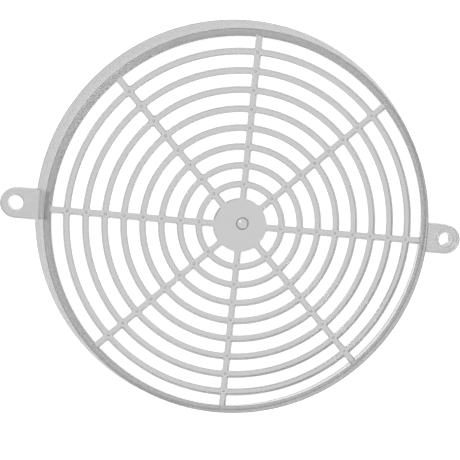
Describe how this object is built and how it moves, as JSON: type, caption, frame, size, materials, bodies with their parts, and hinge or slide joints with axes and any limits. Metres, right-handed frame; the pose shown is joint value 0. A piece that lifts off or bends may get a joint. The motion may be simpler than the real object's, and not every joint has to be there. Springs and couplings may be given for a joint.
{
  "type": "fan guard",
  "caption": "Round clear plastic guard for a fan opening: a flat grille of rings and spokes on a flared wall, with two screw ears.",
  "frame": {"origin": "centre of the round opening, on the mounting face", "axes": "+Z along the axis of the fan, from the mounting face to the front of the grille; +X through the two screw ears"},
  "size_m": [0.1922, 0.165, 0.019],
  "materials": {
    "clear_plastic": "clear polycarbonate as it leaves the mould, glossy on every side"
  },
  "bodies": {
    "root": {"fan_guard": "clear_plastic"}
  },
  "joints": []
}
